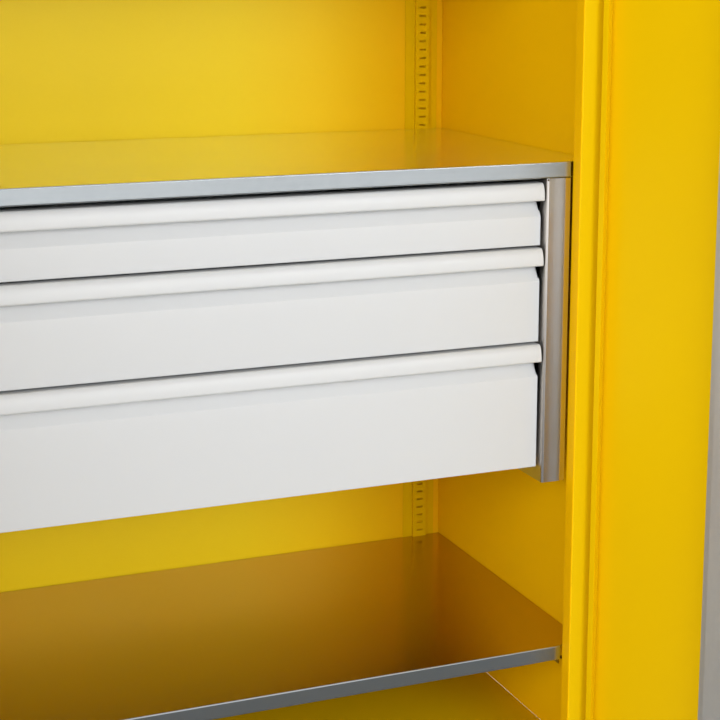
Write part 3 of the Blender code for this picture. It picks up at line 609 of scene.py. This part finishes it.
def door_turn(side):
    """From a door's shut place, in which its parts are measured here, to its place at rest."""
    low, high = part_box("hinge_pin_top_" + side)
    pivot = Vector(((low.x + high.x) / 2, (low.y + high.y) / 2, 0))
    turn = Matrix.Rotation(HANDS[side] * OPEN_ANGLE, 4, "Z")
    return Matrix.Translation(pivot) @ turn @ Matrix.Translation(-pivot)


def on_door(side, places):
    turn = door_turn(side)
    return [(turn @ Vector(point), turn.to_3x3() @ aim) for point, aim in places]


def shut_leaf():
    """The plane of the outer skin of the shut leaves, and their lowest edge."""
    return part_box("roof_panel")[0].y + DOOR_GAP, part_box("door_leaf_right")[0].z


def make_door_parts():
    skin, low = shut_leaf()
    foot = skin + 2 * SKIN + SHEET_GAP
    half = (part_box("side_wall_right")[1].x + MEETING_GAP / 2) / 2
    reach = (STIFFENER_WIDTH - STIFFENER_FOOT) / 2
    start = low + STIFFENER_WELD_START
    weld = small_part("weld_mark", disc_rings(WELD_MARK), ZINC)
    for side, hand in HANDS.items():
        places = [((hand * (half + way * reach), foot, start + step * STIFFENER_WELD_PITCH),
                   INWARD) for way in (-1, 1) for step in range(STIFFENER_WELDS)]
        repeat_part("stiffener_welds_" + side, weld, on_door(side, places), STIFFENER_METAL,
                    "door_" + side)
    bpy.data.objects.remove(weld, do_unlink=True)

    screw = small_part("socket_screw", disc_rings(SOCKET_SCREW), ZINC)
    case = skin + SKIN + SHEET_GAP + CASE_DEPTH
    corners = [((LOCK_INSET + across, case, LOCK_HEIGHT + along), INWARD)
               for across in (-CASE_SCREW_ACROSS, CASE_SCREW_ACROSS)
               for along in (-CASE_SCREW_ALONG, CASE_SCREW_ALONG)]
    repeat_part("lock_case_screws", screw, on_door("right", corners), ZINC, "door_right")
    plate = skin - SHEET_GAP - PLATE_THICKNESS
    ends = [((LOCK_INSET, plate, height), OUTWARD) for height in PLATE_SCREW_HEIGHTS]
    repeat_part("handle_plate_screws", screw, on_door("right", ends), CHROME, "door_right")
    bpy.data.objects.remove(screw, do_unlink=True)


def make_tray_parts():
    """Rivets that hold the runners and the fronts, and ribs pressed into the trays' sides."""
    rivet = small_part("blind_rivet", disc_rings(BLIND_RIVET), ZINC)
    for number in (1, 2, 3):
        low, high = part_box(f"drawer_tray_{number}")
        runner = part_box(f"runner_inner_{number}_right")
        line = (runner[0].z + runner[1].z) / 2
        wall = high.x - SHEET
        places = [((hand * wall, low.y + reach, line), Vector((-hand, 0, 0)))
                  for hand in HANDS.values() for reach in TRAY_RIVET_REACHES]
        places += [((x, low.y + SHEET, (low.z + high.z) / 2), INWARD)
                   for x in FRONT_RIVET_PLACES]
        repeat_part(f"tray_rivets_{number}", rivet, places, ZINC, f"drawer_{number}")
        foot, head = line + 0.014, high.z - 0.005
        half = (head - foot) / 2
        arc = [(RIB_RADIUS * math.cos(angle), RIB_RADIUS * math.sin(angle))
               for angle in (math.pi * step / 6 for step in range(7))]
        rib = small_part(f"rib_{number}", [[(x, y * share, z * share - 0.0001) for y, z in arc]
                                           for x, share in ((-half, 0.2), (RIB_TAPER - half, 1),
                                                            (half - RIB_TAPER, 1), (half, 0.2))],
                         TRAY_METAL)
        ribs = [((hand * wall, low.y + RIB_START + step * RIB_PITCH, (foot + head) / 2),
                 Vector((-hand, 0, 0))) for hand in HANDS.values() for step in range(RIB_COUNT)]
        repeat_part(f"tray_ribs_{number}", rib, ribs, TRAY_METAL, f"drawer_{number}")
        bpy.data.objects.remove(rib, do_unlink=True)
    bpy.data.objects.remove(rivet, do_unlink=True)


def oval(centre, half_width, half_depth, x, power=0.62, count=24):
    """A soft-cornered section square to X."""
    ring = []
    for step in range(count):
        angle = 2 * math.pi * step / count
        y, z = math.cos(angle), math.sin(angle)
        ring.append((x, centre + half_depth * math.copysign(abs(y) ** power, y),
                     half_width * math.copysign(abs(z) ** power, z)))
    return ring


def make_lever():
    """Moulded lever: a boss on the plate and a soft-cornered grip that thins a little."""
    skin = shut_leaf()[0]
    face = skin - 2 * SHEET_GAP - PLATE_THICKNESS
    centre = face - LEVER_STAND_OFF
    shape = bmesh.new()
    rings = []
    for share in (0.0, 0.015, 0.05, 0.12, 0.3, 0.5, 0.7, 0.86, 0.95, 0.985, 1.0):
        end = min(share, 1 - share) / 0.05
        close = 1 if end >= 1 else 0.35 + 0.65 * math.sqrt(1 - (1 - end) ** 2)
        slim = 1 - 0.16 * math.sin(math.pi * min(1, max(0, (share - 0.12) / 0.88)))
        rings.append(oval(centre, LEVER_HALF_WIDTH * close * slim,
                          LEVER_HALF_DEPTH * close * (0.9 + 0.1 * slim),
                          LOCK_INSET - LEVER_HALF_WIDTH + LEVER_REACH * share))
    lift = Vector((0, 0, LOCK_HEIGHT))
    loft(shape, [[Vector(point) + lift for point in ring] for ring in rings])
    tip = skin + SKIN + CASE_DEPTH - 0.005
    boss = ((0.0120, face), (0.0120, face - 0.0115), (0.0112, face - 0.0132),
            (0.0090, face - 0.0150))
    for profile in (boss, ((SPINDLE_RADIUS, tip), (SPINDLE_RADIUS, face - 0.002))):
        loft(shape, [[(LOCK_INSET + radius * math.cos(angle), y,
                       LOCK_HEIGHT + radius * math.sin(angle))
                      for angle in (2 * math.pi * step / 24 for step in range(24))]
                     for radius, y in profile])
    mesh = mesh_from("lever_handle", shape, PLASTIC)
    mesh.transform(door_turn("right"))
    source = add_object("lever_source", mesh)
    hand_over(settle("lever_handle", source), "handle", "door_handle")


# Stage, light and camera

def make_stage():
    """Pale floor that lightens with distance, so that it meets the white background. Near the
    object it is dark grey in reflections only: a painted dark reflection on the metal and paint.
    """
    paving = Finish("pale_floor")
    tone = paving.mix(paving.spread(paving.noise(0.8, 3), 0.0, 1.0), (0.86, 0.86, 0.86),
                      (0.83, 0.83, 0.83))
    reach = (paving.axis(paving.place, "X") ** 2 + paving.axis(paving.place, "Y") ** 2) ** 0.5
    fade = paving.spread(reach, 0.0, FLOOR_FADE, FLOOR_FADE_START, FLOOR_FADE_END)
    path = paving.node("ShaderNodeLightPath")
    mirrored = path.out("Is Glossy Ray")
    # Painted reflection: the near floor is dark grey only to reflections, and stays pale to the
    # camera and in the light it sends back.
    tone = paving.mix(mirrored * (1 - fade), tone, (0.22, 0.23, 0.24))
    paving.surface(Base_Color=tone, Roughness=0.7, Emission_Color=(1, 1, 1),
                   Emission_Strength=(mirrored + path.out("Is Camera Ray")) * fade)
    mesh = bpy.data.meshes.new("studio_floor")
    corners = [(x * FLOOR_REACH, y * FLOOR_REACH, -FLOOR_DROP)
               for x, y in ((-1, -1), (1, -1), (1, 1), (-1, 1))]
    mesh.from_pydata(corners, [], [(0, 1, 2, 3)])
    mesh.materials.append(paving.material)
    add_object("studio_floor", mesh)


def make_world():
    """Soft light all round, and white where the camera or a reflection looks past the floor."""
    world = bpy.data.worlds.new("studio")
    bpy.context.scene.world = world
    world.use_nodes = True
    graph = Graph(world.node_tree)
    world.node_tree.nodes.clear()
    path = graph.node("ShaderNodeLightPath")
    seen = path.out("Is Camera Ray") + path.out("Is Glossy Ray") + path.out("Is Transmission Ray")
    light, white = (graph.node("ShaderNodeBackground", None,
                               {"Color": (1, 1, 1, 1), "Strength": strength})
                    for strength in (WORLD_LIGHT, 1.0))
    both = graph.node("ShaderNodeMixShader", None, {0: seen, 1: light, 2: white})
    graph.node("ShaderNodeOutputWorld", None, {"Surface": both})


def make_lamps():
    for name, place, aim, width, height, power, mirrored in LAMPS:
        lamp = bpy.data.lights.new(name, "AREA")
        lamp.shape, lamp.size, lamp.size_y, lamp.energy = "RECTANGLE", width, height, power
        holder = add_object(name, lamp)
        holder.location = place
        holder.rotation_euler = (Vector(aim) - Vector(place)).to_track_quat("-Z", "Y").to_euler()
        holder.visible_glossy = mirrored


def make_camera():
    """The place is set against the right front corner of the middle shelf's top."""
    corner = Vector((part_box("block_side_panel_right")[1].x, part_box("shelf_middle")[0].y,
                     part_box("shelf_middle")[1].z))
    data = bpy.data.cameras.new("camera")
    data.sensor_width = CAMERA_SENSOR
    data.lens = CAMERA_LENS
    data.shift_y = CAMERA_SHIFT
    data.clip_end = CAMERA_CLIP
    camera = add_object("camera", data)
    camera.location = corner + Vector(CAMERA_FROM_CORNER)
    camera.rotation_euler = (math.pi / 2 + CAMERA_PITCH, 0, CAMERA_YAW)
    bpy.context.scene.camera = camera


def main():
    bpy.context.scene.view_settings.view_transform = "Standard"
    make_camera()
    finish_nodes()
    for number in (1, 2, 3):
        make_drawer_front(number)
    make_tray_parts()
    make_door_parts()
    make_lever()
    make_stage()
    make_world()
    make_lamps()


main()
